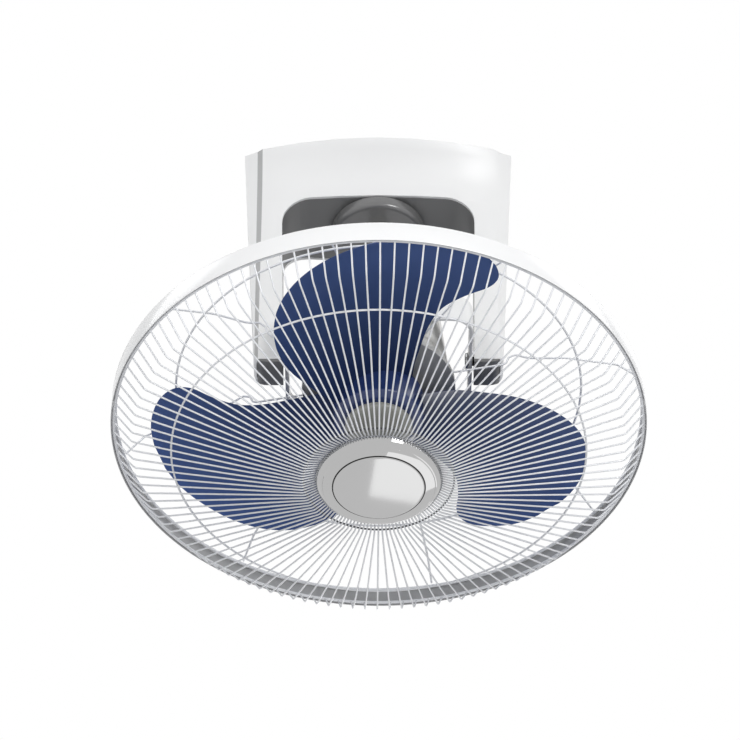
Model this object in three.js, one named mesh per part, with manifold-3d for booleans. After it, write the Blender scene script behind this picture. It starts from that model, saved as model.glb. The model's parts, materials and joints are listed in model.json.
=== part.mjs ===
// Orbital ceiling fan with a 400 mm sweep, in millimetres, +Z up.
//
// The origin is the centre of the face that meets the ceiling. X runs along the pins in the yoke's two legs,
// and the room is below. Heights in the moving head are given from the guard's front rim, upwards.
//
// A ceiling yoke carries a gimbal ring on two pins along X. The ring carries the fan head on two pins along Y.
// A geared motor in the yoke's web turns a crank, whose pin leads the stem on the head's back round a circle.

import * as THREE from 'three';
import { mergeVertices } from 'three/addons/utils/BufferGeometryUtils.js';
import Module from 'manifold-3d';

const wasm = await Module();
wasm.setup();

const { PI, cos, sin, tan, hypot, atan2, acos, min, sqrt } = Math;

// ---------------------------------------------------------------- driving dimensions

const GAP = 0.3;                 // between pieces that touch
const RUN = 0.09;                // radial clearance of a shaft in its bush
const FAR = 400;                 // beyond the whole fan, for cuts that run through

// ceiling yoke
const CEILING_TO_RIM = 296;      // ceiling face down to the guard's front rim
const YOKE_HALF_TOP = 119;       // half width at the ceiling
const YOKE_HALF_TIP = 106.5;     // half width at the leg tips
const YOKE_TIP = 225.5;          // ceiling face down to the leg tips
const YOKE_DEPTH_TOP = 69;       // half depth at the ceiling, on the centre line
const YOKE_DEPTH_SOFFIT = 40;    // half depth where the flare begins
const YOKE_DEPTH_TIP = 14.5;     // half depth of a leg tip
const FLARE_DROP = 48;           // the flare's height under the ceiling
const FRONT_BULGE_R = 376;       // plan radius of the front and rear faces at the ceiling
const PANEL_HALF = 103;          // half width of the raised front panel
const PANEL_STEP = 2.2;          // how far the panel stands out
const PANEL_BEVEL = 4.5;         // width of its sloping edge
const EDGE_ROUND = 1.5;          // vertical edges of the yoke
const TIP_ROUND = 12;            // outer lower corner of a leg
const ARCH_HALF_TOP = 85.3;      // half width between the legs, at the soffit
const ARCH_HALF_TIP = 81.5;      // and at the tips
const ARCH_SOFFIT = 45.5;        // ceiling face down to the soffit
const ARCH_FILLET = 25;
const COVER_WALL = 2.5;
const LINER_WALL = 2.5;
const CAP_LIP = 3;               // height of a leg cap that shows
const CAP_PLUG = 5.5;            // height of a leg cap in all

// load-bearing strap and ceiling plate
const PLATE_LENGTH = 190;
const PLATE_WIDTH = 84;
const PLATE_THICK = 2.5;
const STRAP_THICK = 3;
const STRAP_HALF = 94;           // half width over the strap's legs
const STRAP_DEPTH_TOP = 30;      // half depth of the strap at its web
const STRAP_DEPTH_TIP = 9.5;
const STRAP_BEND = 8;
const SCREW_SLOT_X = 70;         // ceiling screws, from the centre
const SCREW_SLOT_R = 3;
const SCREW_SLOT_LENGTH = 10;
const CABLE_HOLE_R = 9;
const CABLE_HOLE_X = -54;
const CABLE_HOLE_Y = 17;

// orbit drive in the web
const ORBIT_TILT = 8;            // degrees: how far the orbit leans the head
const CRANK_R = 43.5;
const CRANK_FACE = 57.7;         // ceiling face down to the crank's lower face
const CRANK_FREE = 2.5;          // air between the crank's flange and the soffit
const CRANK_NECK_R = 33;         // the part of the crank that turns in the soffit's hole
const CRANK_PIN_R = 5;
const CRANK_PIN_LENGTH = 9;
const CRANK_REST = PI / 2;       // crank angle as drawn: the pin stands at the back
const SPINDLE_R = 5;
const CRANK_BUSH_R = 9;
const GEAR_MODULE = 2;
const GEAR_TEETH = 36;
const PINION_TEETH = 9;
const GEAR_WIDTH = 6;
const GEAR_TOP = 31;             // ceiling face down to the gear's upper face
const BRACKET_THICK = 1.5;
const BRACKET_FACE = 27.6;       // ceiling face down to the bracket's lower face
const BRACKET_HALF_DEPTH = 20;
const GEARMOTOR_R = 25;
const GEARMOTOR_HEIGHT = 17.5;
const GEARMOTOR_SHAFT_R = 3;

// gimbal
const PIVOT_H = 85;              // both pin axes above the rim
const RING_HALF_X = 80;
const RING_HALF_Y = 66;
const RING_CORNER = 18;
const RING_WALL = 3;
const RING_HEIGHT = 28;
const RING_ARCH = 4;             // how much the ring's sides are cut up over the guard's ribs
const PIN_R = 4;
const BUSH_R = 6.3;
const PIN_HEAD_R = 7.5;
const PIN_HEAD = 3;
const RING_BUSH_FLANGE = 1.5;

// motor
const MOTOR_BASE_H = 53.5;       // lower face of the motor above the rim
const MOTOR_JOINT_H = 69;        // joint between its two housings
const MOTOR_TOP_H = 132;
const MOTOR_R_BASE = 62;
const MOTOR_R_TOP = 54;
const MOTOR_WALL = 2.4;
const VENT_COUNT = 8;            // cooling slots in the motor's top
const SHAFT_R = 4;
const BEARING_R = 11;
const BEARING_WIDTH = 7;
const STATOR_R = 47;
const STATOR_BORE_R = 28;
const STATOR_H = 77;
const STATOR_HEIGHT = 30;
const WINDING_H = 7;
const BOSS_DEPTH = 11;           // length of the housing's pin bosses
const NECK_R = 18;               // threaded neck that the guard nut turns on
const NECK_H = 46;
const STEM_R = 7;
const STEM_FLANGE_R = 24;
const STEM_TOP_CLEAR = 4.5;      // open pivot: from the crank pin's end down to the stem's cup
const CUP_R = 10;
const CUP_DEPTH = 7;

// blades
const SWEEP_R = 199;
const BLADE_COUNT = 3;
const BLADE_ANGLE = 0.6;         // degrees: where the first blade stands as drawn
const BLADE_THICK = 2.4;
const BLADE_FOOT_H = 16.5;       // level that the blade stations are measured from
const BLADE_CAMBER = 5;          // how far the chord bows towards the rear
const CHORD_STEPS = 6;
const BLADE_PIN_R = 1.5;         // cross pin that drives the blades
const HUB_R = 38;
const HUB_FRONT_H = 10;
const HUB_REAR_H = 43;
const SPINNER_R = 28.5;
const SPINNER_FRONT_H = 0.5;

// guard
const GUARD_R = 225;
const BAND_HEIGHT = 20;
const BAND_WALL = 1.1;
const WIRE_R = 1.15;
const WIRE_COUNT = 120;
const WIRE_ANGLE = 0.2;          // degrees: the first front wire
const RING_SECTION = 2.4;        // half diagonal of the rings that the front wires end in
const RIB_R = 1.4;
const RIB_COUNT = 8;
const RIB_ANGLE = -12.4;         // degrees: the first rear rib, which passes beside a leg
const REAR_RIM_WIRE_R = 1.8;     // the ring that the ribs stand on inside the band
const REAR_RING_R = 172;
const REAR_SHOULDER_R = 205;     // the ribs bend in over the blade tips
const REAR_SHOULDER_H = 38;
const REAR_SLOPE_R = 162;
const REAR_SLOPE_H = 55;
const REAR_STEP_R = 116;         // where the rear guard steps down to clear the legs
const REAR_STEP_H = 68;
const REAR_INNER_H = 58.5;
const FRONT_RING_R = 173;
const FRONT_KINK_R = 206;
const FRONT_KINK_H = -19.6;
const FRONT_INNER_R = 64;
const FRONT_INNER_H = -54.6;
const CAP_R = 52.8;
const CAP_RIM_H = -52.9;
const CAP_FACE_H = -61.8;
const CAP_DISC_R = 37.8;

// ---------------------------------------------------------------- derived places

const RIM_Z = -CEILING_TO_RIM;
const above = (h) => RIM_Z + h;  // a height over the rim as a Z
const PIVOT_Z = above(PIVOT_H);
const RIM_RING_R = GUARD_R - BAND_WALL - GAP - RING_SECTION;
const RIM_RING_H = RING_SECTION + 0.4;
const HUB_RING_R = CAP_R - 4;
const HUB_RING_H = CAP_RIM_H + 3.5;
const REAR_RIM_H = BAND_HEIGHT - RIB_R - REAR_RIM_WIRE_R - GAP - 0.6;
const WIRE_SECTION = WIRE_R * 1.15;          // half height of the front wires' three-sided section
const STRAP_TOP = -PLATE_THICK - GAP;
const STRAP_UNDER = STRAP_TOP - STRAP_THICK;
const STEM_TOP_Z = -CRANK_FACE - CRANK_PIN_LENGTH - STEM_TOP_CLEAR;
const THROW = (STEM_TOP_Z - PIVOT_Z) * tan((ORBIT_TILT * PI) / 180);   // crank pin from the crank's axis
const CENTRE_DISTANCE = (GEAR_MODULE * (GEAR_TEETH + PINION_TEETH)) / 2;
const BOSS_FACE = RING_HALF_Y - RING_WALL - 1.5;   // outer face of the housing's pin bosses
const BLADE_PIN_H = HUB_REAR_H - 8;
const turn = (degrees) => (degrees * PI) / 180;

// Centre lines of the guard's wires: bends [radius, height over the rim], from the rim inwards.
const FRONT_BENDS = [
  [RIM_RING_R, RIM_RING_H], [FRONT_KINK_R, FRONT_KINK_H], [FRONT_INNER_R, FRONT_INNER_H],
  [HUB_RING_R, HUB_RING_H],
];
const REAR_BENDS = [
  [RIM_RING_R, BAND_HEIGHT], [REAR_SHOULDER_R, REAR_SHOULDER_H], [REAR_SLOPE_R, REAR_SLOPE_H],
  [REAR_STEP_R + 14, REAR_STEP_H - 6.5], [REAR_STEP_R + 3, REAR_STEP_H], [REAR_STEP_R - 3, REAR_STEP_H - 2],
  [REAR_STEP_R - 5.5, REAR_INNER_H + 1.5], [REAR_STEP_R - 9, REAR_INNER_H], [MOTOR_R_BASE + 2, REAR_INNER_H],
];

// The height of such a centre line at a radius, so that a ring follows its wires.
function heightOn(bends, r) {
  const i = bends.findIndex(([inner]) => inner <= r);
  const [[r0, h0], [r1, h1]] = [bends[i - 1], bends[i]];
  return h0 + ((h1 - h0) * (r - r0)) / (r1 - r0);
}

// ---------------------------------------------------------------- materials

const paint = (color, roughness, metalness) =>
  new THREE.MeshStandardMaterial({ color, roughness, metalness });
const WHITE_SHELL = () => paint(0xf2f2f0, 0.4, 0);
const DARK_LINER = () => paint(0x5a5a5a, 0.6, 0);
const ZINC = () => paint(0xb4b6b8, 0.4, 1);
const STEEL = () => paint(0xc4c6c8, 0.25, 1);
const BRONZE = () => paint(0xa87c4a, 0.4, 1);
const GREY_METAL = () => paint(0x9a9a98, 0.35, 0.8);
const NYLON = () => paint(0xe6e4dc, 0.5, 0);
const BLACK = () => paint(0x222222, 0.6, 0);
const COPPER = () => paint(0xb06a3c, 0.4, 1);
const LAMINATION = () => paint(0x6a6a6c, 0.5, 1);
const WHITE_WIRE = () => paint(0xd8dadc, 0.3, 0.1);
const BLUE_BLADE = () => paint(0x3a4a94, 0.25, 0);
const OLIVE_GREY = () => paint(0x9a9c90, 0.35, 0);
const SILVER_CAP = () => paint(0xc6c8c8, 0.2, 0.6);

// ---------------------------------------------------------------- form helpers

// Shared vertices merged, empty triangles dropped and faces turned outwards.
function tidy(source) {
  source.deleteAttribute('normal');
  source.deleteAttribute('uv');
  const geometry = mergeVertices(source, 1e-4);
  const p = geometry.attributes.position;
  const index = [];
  let volume = 0;
  for (let t = 0; t < geometry.index.count; t += 3) {
    const [a, b, c] = [0, 1, 2].map((k) => geometry.index.getX(t + k));
    if (a === b || b === c || c === a) continue;
    index.push(a, b, c);
    const [u, v, w] = [a, b, c].map((i) => new THREE.Vector3().fromBufferAttribute(p, i));
    volume += u.dot(v.cross(w));
  }
  geometry.setIndex(volume < 0 ? index.reverse() : index);
  return geometry;
}

function solid(source) {
  const geometry = source.index && source.userData.tidy ? source : tidy(source);
  return new wasm.Manifold(
    new wasm.Mesh({
      numProp: 3,
      vertProperties: new Float32Array(geometry.attributes.position.array),
      triVerts: new Uint32Array(geometry.index.array),
    }),
  );
}

function surface(body) {
  const mesh = body.getMesh();
  const geometry = new THREE.BufferGeometry();
  geometry.setAttribute('position', new THREE.BufferAttribute(new Float32Array(mesh.vertProperties), 3));
  geometry.setIndex(new THREE.BufferAttribute(new Uint32Array(mesh.triVerts), 1));
  return geometry;
}

const joined = (parts) => parts.reduce((sum, part) => sum.add(part));

// A closed outline through corners [x, y, fillet radius].
function outline(corners) {
  const shape = new THREE.Shape();
  const count = corners.length;
  corners.forEach(([x, y, radius = 0], i) => {
    if (!radius) {
      if (i === 0) shape.moveTo(x, y);
      else shape.lineTo(x, y);
      return;
    }
    const corner = new THREE.Vector2(x, y);
    const back = new THREE.Vector2(...corners[(i + count - 1) % count].slice(0, 2)).sub(corner).normalize();
    const on = new THREE.Vector2(...corners[(i + 1) % count].slice(0, 2)).sub(corner).normalize();
    const half = acos(back.dot(on)) / 2;
    const centre = back.clone().add(on).normalize().multiplyScalar(radius / sin(half)).add(corner);
    const run = radius / tan(half);
    const start = back.clone().multiplyScalar(run).add(corner).sub(centre);
    const end = on.clone().multiplyScalar(run).add(corner).sub(centre);
    if (i > 0) shape.lineTo(centre.x + start.x, centre.y + start.y);
    shape.absarc(
      centre.x, centre.y, radius, atan2(start.y, start.x), atan2(end.y, end.x), back.cross(on) > 0,
    );
  });
  shape.closePath();
  return shape;
}

const rectangle = (x, y, radius = 0) =>
  outline([[-x, -y, radius], [x, -y, radius], [x, y, radius], [-x, y, radius]]);

// A slot or, with no length, a round hole, as a shape.
function slot(x, y, radius, length = 0) {
  const shape = new THREE.Shape();
  shape.absarc(x - length / 2, y, radius, PI / 2, (3 * PI) / 2, false);
  shape.absarc(x + length / 2, y, radius, -PI / 2, PI / 2, false);
  shape.closePath();
  return shape;
}

// A shape in plan, standing from z0 to z1.
function slab(shape, z0, z1, curveSegments = 3) {
  const geometry = new THREE.ExtrudeGeometry(shape, {
    depth: z1 - z0, bevelEnabled: false, curveSegments,
  });
  return solid(geometry.translate(0, 0, z0));
}

// A shape drawn in the front view (x, z), running from y0 to y1.
function curtain(shape, y0, y1, curveSegments = 3) {
  const geometry = new THREE.ExtrudeGeometry(shape, {
    depth: y1 - y0, bevelEnabled: false, curveSegments,
  });
  return solid(geometry.rotateX(PI / 2).translate(0, y1, 0));
}

// A shape drawn in the side view (y, z), running from x0 to x1.
function side(shape, x0, x1, curveSegments = 3) {
  const geometry = new THREE.ExtrudeGeometry(shape, {
    depth: x1 - x0, bevelEnabled: false, curveSegments,
  });
  return solid(geometry.rotateX(PI / 2).rotateZ(PI / 2).translate(x0, 0, 0));
}

// A profile of [radius, z] turned about Z. It starts and ends on the axis, or closes on itself.
function turned(profile, segments = 16) {
  const points = profile.map(([r, z]) => new THREE.Vector2(r, z));
  if (profile[0][0] > 0 || profile.at(-1)[0] > 0) points.push(points[0].clone());
  return solid(new THREE.LatheGeometry(points, segments).rotateX(PI / 2));
}

const disc = (r, z0, z1, segments = 16) => turned([[0, z0], [r, z0], [r, z1], [0, z1]], segments);
const collar = (inner, outer, z0, z1, segments = 16) =>
  turned([[inner, z0], [outer, z0], [outer, z1], [inner, z1]], segments);

// A round cut along Z through everything.
const bore = (radius, segments) => disc(radius, -FAR, FAR, segments);

const box = (x0, x1, y0, y1, z0, z1) =>
  solid(new THREE.BoxGeometry(x1 - x0, y1 - y0, z1 - z0)
    .translate((x0 + x1) / 2, (y0 + y1) / 2, (z0 + z1) / 2));

// A turned body laid on a pin axis, pointing to +X or +Y, or to the other side for a negative sign.
const alongX = (body, sign = 1) => body.rotate([0, sign * 90, 0]).translate([0, 0, PIVOT_Z]);
const alongY = (body, sign = 1) => body.rotate([-sign * 90, 0, 0]).translate([0, 0, PIVOT_Z]);

// A closed skin through rings with equal counts of points; its ends are flat.
function lofted(rings) {
  const count = rings[0].length;
  const index = [];
  for (let k = 0; k + 1 < rings.length; k++) {
    for (let i = 0; i < count; i++) {
      const [a, b] = [k * count + i, k * count + ((i + 1) % count)];
      index.push(a, b, b + count, a, b + count, a + count);
    }
  }
  const last = (rings.length - 1) * count;
  for (let i = 0; i + 1 < count / 2; i++) {
    const [a, b, c, d] = [i, i + 1, count - 2 - i, count - 1 - i];
    index.push(a, d, b, last + a, last + b, last + d);
    if (b !== c) index.push(b, d, c, last + b, last + c, last + d);
  }
  const geometry = new THREE.BufferGeometry();
  geometry.setAttribute('position', new THREE.Float32BufferAttribute(rings.flat(2), 3));
  geometry.setIndex(index);
  return solid(geometry);
}

// A wire's centre line: straight between its bends.
class BentLine extends THREE.Curve {
  constructor(points) {
    super();
    this.points = points;
  }

  getPoint(t, target = new THREE.Vector3()) {
    const place = t * (this.points.length - 1);
    const i = min(Math.floor(place), this.points.length - 2);
    return target.lerpVectors(this.points[i], this.points[i + 1], place - i);
  }

  getPointAt(u, target) {
    return this.getPoint(u, target);
  }
}

function polygon(radius, sides) {
  const corners = Array.from({ length: sides }, (_, i) => {
    const a = (2 * PI * (i + 0.5)) / sides;
    return [radius * cos(a), radius * sin(a)];
  });
  return outline(corners);
}

// A wire through bends [radius, height over the rim], in the plane of X and Z.
function wire(bends, radius, sides) {
  const path = new BentLine(bends.map(([r, h]) => new THREE.Vector3(r, 0, above(h))));
  return solid(new THREE.ExtrudeGeometry(polygon(radius, sides), {
    steps: bends.length - 1, extrudePath: path, bevelEnabled: false,
  }));
}

// A wire ring round the head's axis. One flat of its section faces along an angle from outwards.
function hoop(r, h, radius, segments, sides = 4, facing = 0) {
  const profile = Array.from({ length: sides }, (_, i) => {
    const a = facing + (2 * PI * (i + 0.5)) / sides;
    return [r + radius * cos(a), above(h) + radius * sin(a)];
  });
  return turned(profile, segments);
}

// ---------------------------------------------------------------- yoke form

const yokeHalfWidth = (z) =>
  YOKE_HALF_TIP + ((YOKE_HALF_TOP - YOKE_HALF_TIP) * (YOKE_TIP + z)) / YOKE_TIP;

// Half depth on the centre line: straight up the legs, then flaring to the ceiling.
function yokeHalfDepth(z) {
  const slope = (YOKE_DEPTH_SOFFIT - YOKE_DEPTH_TIP) / (YOKE_TIP - FLARE_DROP);
  const rise = z + FLARE_DROP;
  if (rise <= 0) return YOKE_DEPTH_SOFFIT + slope * rise;
  const flare = (YOKE_DEPTH_TOP - YOKE_DEPTH_SOFFIT - slope * FLARE_DROP) / FLARE_DROP ** 2;
  return YOKE_DEPTH_SOFFIT + slope * rise + flare * rise ** 2;
}

// Front half of the plan outline at one level, from left to right, set in by a wall.
function yokeEdge(z, inset) {
  const depth = yokeHalfDepth(z);
  const width = yokeHalfWidth(z);
  const share = (depth - YOKE_DEPTH_TIP) / (YOKE_DEPTH_TOP - YOKE_DEPTH_TIP);
  const front = (x) => depth - inset - (share * x * x) / (2 * FRONT_BULGE_R);
  const bevelled = min(PANEL_HALF + PANEL_BEVEL, width - EDGE_ROUND / 2);
  const half = [
    [width - inset, 0],
    [width - inset, front(width) - PANEL_STEP - EDGE_ROUND],
    [bevelled - inset, front(bevelled) - PANEL_STEP],
    [PANEL_HALF - inset, front(PANEL_HALF)],
    [(PANEL_HALF * 2) / 3, front((PANEL_HALF * 2) / 3)],
    [PANEL_HALF / 3, front(PANEL_HALF / 3)],
  ];
  return [
    ...half.map(([x, y]) => [-x, y]),
    [0, front(0)],
    ...half.toReversed(),
  ];
}

// The yoke's outer form without its arch, from the tips to the ceiling.
function yokeBlock(inset, top, bottom) {
  const levels = [bottom, -FLARE_DROP, -FLARE_DROP * 0.7, -FLARE_DROP * 0.4, -FLARE_DROP * 0.15, top];
  return lofted(levels.map((z) => {
    const edge = yokeEdge(z, inset);
    const rear = edge.map(([x, y]) => [x, y, z]);
    const front = edge.slice(1, -1).toReversed().map(([x, y]) => [x, -y, z]);
    return [...rear, ...front];
  }));
}

const archHalf = (z) =>
  ARCH_HALF_TIP + ((ARCH_HALF_TOP - ARCH_HALF_TIP) * (YOKE_TIP + z)) / (YOKE_TIP - ARCH_SOFFIT);

// The space between the legs, widened by a wall, run through the yoke.
function arch(grow) {
  const top = -ARCH_SOFFIT + grow;
  const floor = -YOKE_TIP - 60;
  const [wide, narrow] = [archHalf(top) + grow, archHalf(floor) + grow];
  const opening = outline([
    [-narrow, floor], [narrow, floor], [wide, top, ARCH_FILLET + grow], [-wide, top, ARCH_FILLET + grow],
  ]);
  return curtain(opening, -FAR, FAR, 4);
}

// The front view's limit, which rounds the outer lower corners of the legs.
function tipLimit(inset) {
  const bottom = -YOKE_TIP + inset;
  return curtain(outline([
    [-YOKE_HALF_TOP - 8, 8], [-YOKE_HALF_TIP + inset - 0.1, bottom, TIP_ROUND - inset],
    [YOKE_HALF_TIP - inset + 0.1, bottom, TIP_ROUND - inset], [YOKE_HALF_TOP + 8, 8],
  ]), -FAR, FAR, 3);
}

const yokeForm = () => yokeBlock(0, -GAP, -YOKE_TIP).intersect(tipLimit(0)).subtract(arch(0));

// ---------------------------------------------------------------- scene

const fan = new THREE.Group();
const group = (parent, z = 0) => {
  const child = new THREE.Group();
  child.position.z = z;
  parent.add(child);
  return child;
};
const yoke = group(fan);
const crank = group(fan);
const gimbal = group(fan);
const head = group(gimbal);
const rotor = group(head);

function piece(parent, name, material, body) {
  const mesh = new THREE.Mesh(surface(body), material());
  mesh.name = name;
  parent.add(mesh);
}

// ---------------------------------------------------------------- yoke pieces

const cableHole = () => slab(slot(CABLE_HOLE_X, CABLE_HOLE_Y, CABLE_HOLE_R), -FAR, FAR, 5);

function ceilingPlate() {
  const screws = [-1, 1].map((s) =>
    slab(slot(s * SCREW_SLOT_X, 0, SCREW_SLOT_R, SCREW_SLOT_LENGTH), -FAR, FAR));
  return slab(rectangle(PLATE_LENGTH / 2, PLATE_WIDTH / 2, 10), -PLATE_THICK, 0)
    .subtract(joined(screws)).subtract(cableHole());
}

// One bent steel strap: a web under the plate and two legs down to the pins.
function yokeFrame() {
  const foot = -YOKE_TIP + CAP_LIP + 1;
  const inner = STRAP_HALF - STRAP_THICK;
  const bend = STRAP_BEND - STRAP_THICK;
  const strip = curtain(outline([
    [-STRAP_HALF, foot], [-inner, foot], [-inner, STRAP_UNDER, bend], [inner, STRAP_UNDER, bend],
    [inner, foot], [STRAP_HALF, foot], [STRAP_HALF, STRAP_TOP, STRAP_BEND],
    [-STRAP_HALF, STRAP_TOP, STRAP_BEND],
  ]), -STRAP_DEPTH_TOP, STRAP_DEPTH_TOP);
  const taper = side(outline([
    [-STRAP_DEPTH_TIP, foot, 6], [STRAP_DEPTH_TIP, foot, 6],
    [STRAP_DEPTH_TOP, -60], [STRAP_DEPTH_TOP, 0], [-STRAP_DEPTH_TOP, 0], [-STRAP_DEPTH_TOP, -60],
  ]), -FAR, FAR);
  const pinHoles = alongX(bore(BUSH_R + GAP, 24));
  return strip.intersect(taper).subtract(pinHoles).subtract(cableHole())
    .subtract(bore(SPINDLE_R + 4));
}

// Thin walls of the yoke's outer form, open to the ceiling, the arch and the tips.
function covers() {
  const shell = yokeForm().subtract(yokeBlock(COVER_WALL, 5, -YOKE_TIP - 5));
  return shell.intersect(overCaps());
}

const overCaps = () => box(-FAR, FAR, -FAR, FAR, -YOKE_TIP + CAP_LIP + GAP, FAR);
const frontHalf = () => box(-FAR, FAR, -FAR, -GAP / 2, -FAR, FAR);
const rearHalf = () => box(-FAR, FAR, GAP / 2, FAR, -FAR, FAR);

// The dark lining of the arch: the soffit and the legs' inner faces.
function archLiner() {
  const strip = arch(LINER_WALL).subtract(arch(0));
  return strip.intersect(yokeBlock(COVER_WALL + GAP, -GAP, -YOKE_TIP)).intersect(overCaps())
    .subtract(bore(CRANK_NECK_R + 0.8, 32)).subtract(alongX(bore(PIN_R + 3)));
}

// A dark cap that closes a leg's tip, with a plug inside the covers.
function legCap(sign) {
  const outwards = (from, top) => {
    const [x0, x1] = sign < 0 ? [-FAR, -from] : [from, FAR];
    return box(x0, x1, -FAR, FAR, -FAR, top);
  };
  const lip = yokeForm().intersect(outwards(0, -YOKE_TIP + CAP_LIP));
  const wall = COVER_WALL + GAP;
  const inner = archHalf(-YOKE_TIP + CAP_PLUG) + LINER_WALL + GAP;
  const plug = yokeBlock(wall, -GAP, -YOKE_TIP).intersect(tipLimit(wall))
    .intersect(outwards(inner, -YOKE_TIP + CAP_PLUG));
  const strapRoom = box(sign * STRAP_HALF - 6, sign * STRAP_HALF + 6, -STRAP_DEPTH_TIP - 1,
    STRAP_DEPTH_TIP + 1, -YOKE_TIP + CAP_LIP, 0);
  return lip.add(plug).subtract(strapRoom);
}

// A flanged bronze bush in a strap leg, round a gimbal pin.
function yokeBush(sign) {
  const inner = STRAP_HALF - STRAP_THICK;
  const bush = turned([
    [PIN_R + RUN, inner - 5], [BUSH_R + 2, inner - 5], [BUSH_R + 2, inner - GAP],
    [BUSH_R, inner - GAP], [BUSH_R, STRAP_HALF + 1], [PIN_R + RUN, STRAP_HALF + 1],
  ]);
  return alongX(bush, sign);
}

// ---------------------------------------------------------------- orbit drive

// A hat-shaped plate under the web that carries the crank's bush and the geared motor.
function driveBracket() {
  const top = STRAP_UNDER - GAP;
  const low = -BRACKET_FACE;
  const [left, right] = [-30, CENTRE_DISTANCE + GEARMOTOR_R + 6];
  const t = BRACKET_THICK;
  const section = outline([
    [left - 10, top], [left - 10, top - t], [left, top - t], [left, low], [right, low], [right, top - t],
    [right + 10, top - t], [right + 10, top], [right - t, top], [right - t, low + t],
    [left + t, low + t], [left + t, top],
  ]);
  return curtain(section, -BRACKET_HALF_DEPTH, BRACKET_HALF_DEPTH)
    .subtract(bore(CRANK_BUSH_R + GAP))
    .subtract(slab(slot(CENTRE_DISTANCE, 0, GEARMOTOR_SHAFT_R + 3), -FAR, FAR, 6));
}

function orbitGearmotor() {
  const foot = -BRACKET_FACE + BRACKET_THICK + GAP;
  const body = turned([
    [0, foot], [GEARMOTOR_R, foot], [GEARMOTOR_R, foot + GEARMOTOR_HEIGHT - 1.5],
    [GEARMOTOR_R - 1.5, foot + GEARMOTOR_HEIGHT], [0, foot + GEARMOTOR_HEIGHT],
  ]);
  return body.subtract(disc(GEARMOTOR_SHAFT_R + RUN, foot - 1, foot + 8)).translate([CENTRE_DISTANCE, 0, 0]);
}

function crankBush() {
  const flange = -BRACKET_FACE - GAP;
  return turned([
    [SPINDLE_R + RUN, flange - 2], [CRANK_BUSH_R + 3, flange - 2], [CRANK_BUSH_R + 3, flange],
    [CRANK_BUSH_R, flange], [CRANK_BUSH_R, flange + 12], [SPINDLE_R + RUN, flange + 12],
  ], 32);
}

// The round face in the soffit, with its spindle.
function crankDisc() {
  const low = -CRANK_FACE;
  const flange = -ARCH_SOFFIT - CRANK_FREE;
  const neck = -ARCH_SOFFIT + LINER_WALL + 2;
  const gearFoot = -GEAR_TOP - GEAR_WIDTH - GAP;
  const spindleTop = -BRACKET_FACE + 15;
  const body = turned([
    [0, low], [CRANK_R - 4, low], [CRANK_R - 1.2, low + 1.2], [CRANK_R, low + 4], [CRANK_R, flange],
    [CRANK_NECK_R, flange], [CRANK_NECK_R, neck], [CRANK_NECK_R - 3, neck], [CRANK_NECK_R - 3, low + 4],
    [14, low + 4], [14, gearFoot], [SPINDLE_R, gearFoot],
    [SPINDLE_R, spindleTop - 3], [SPINDLE_R - 1, spindleTop - 3], [SPINDLE_R - 1, spindleTop - 2],
    [SPINDLE_R, spindleTop - 2], [SPINDLE_R, spindleTop], [0, spindleTop],
  ], 32);
  const seat = disc(2 + GAP, low - 1, low + 3, 16).translate([THROW * cos(CRANK_REST), THROW * sin(CRANK_REST), 0]);
  return body.subtract(seat);
}

// The eccentric pin: a headed roller on the crank's lower face.
function crankPin() {
  const face = -CRANK_FACE - GAP;
  const end = -CRANK_FACE - CRANK_PIN_LENGTH;
  return turned([
    [0, end], [CRANK_PIN_R - 2.5, end], [CRANK_PIN_R, end + 3], [CRANK_PIN_R, face], [2, face],
    [2, face + 2.5], [0, face + 2.5],
  ]).translate([THROW * cos(CRANK_REST), THROW * sin(CRANK_REST), 0]);
}

function crankClip() {
  const level = -BRACKET_FACE + 15 - 3 + 0.1;
  const ring = collar(SPINDLE_R - 1 + GAP, SPINDLE_R + 3, level, level + 0.8);
  return ring.subtract(box(0, 20, -3, 3, level - 1, level + 2));
}

// Spur teeth with straight flanks; a tooth is centred on angle zero.
function gearShape(teeth, backlash) {
  const pitch = (GEAR_MODULE * teeth) / 2;
  const tip = pitch + GEAR_MODULE * 0.9;
  const root = pitch - GEAR_MODULE * 1.2;
  const tooth = PI / teeth;
  const corners = [];
  for (let i = 0; i < teeth; i++) {
    const a = (2 * PI * i) / teeth;
    const widths = [[root, 0.78], [tip, 0.26], [tip, -0.26], [root, -0.78]];
    for (const [r, share] of widths) {
      const at = a - tooth * share + (Math.sign(share) * backlash) / pitch;
      corners.push([r * cos(at), r * sin(at)]);
    }
  }
  return outline(corners);
}

function crankGear() {
  const low = -GEAR_TOP - GEAR_WIDTH;
  const gear = slab(gearShape(GEAR_TEETH, 0.12), low, -GEAR_TOP);
  const pockets = [0, 1, 2, 3].map((i) => bore(8, 10).translate([22, 0, 0]).rotate([0, 0, 45 + i * 90]));
  return gear.subtract(bore(SPINDLE_R + GAP)).subtract(joined(pockets));
}

function drivePinion() {
  const low = -GEAR_TOP - GEAR_WIDTH;
  const shaftTop = -BRACKET_FACE + BRACKET_THICK + 6;
  return slab(gearShape(PINION_TEETH, 0.12), low, -GEAR_TOP).rotate([0, 0, 180 + 180 / PINION_TEETH])
    .add(disc(GEARMOTOR_SHAFT_R, -GEAR_TOP - 1, shaftTop)).translate([CENTRE_DISTANCE, 0, 0]);
}

// ---------------------------------------------------------------- wiring pieces in the web

function terminalBlock() {
  const [x, y, top] = [-62, -14, STRAP_UNDER - GAP];
  const block = box(x - 8, x + 8, y - 11, y + 11, top - 13, top);
  const entries = [-7, 0, 7].map((dy) => box(x - 9, x - 3, y + dy - 2, y + dy + 2, top - 10, top - 4));
  return block.subtract(joined(entries));
}

function motorCapacitor() {
  const [y, top] = [10, STRAP_UNDER - GAP];
  return slab(rectangle(9, 13, 2), top - 22, top).translate([-78, y, 0]);
}

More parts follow.
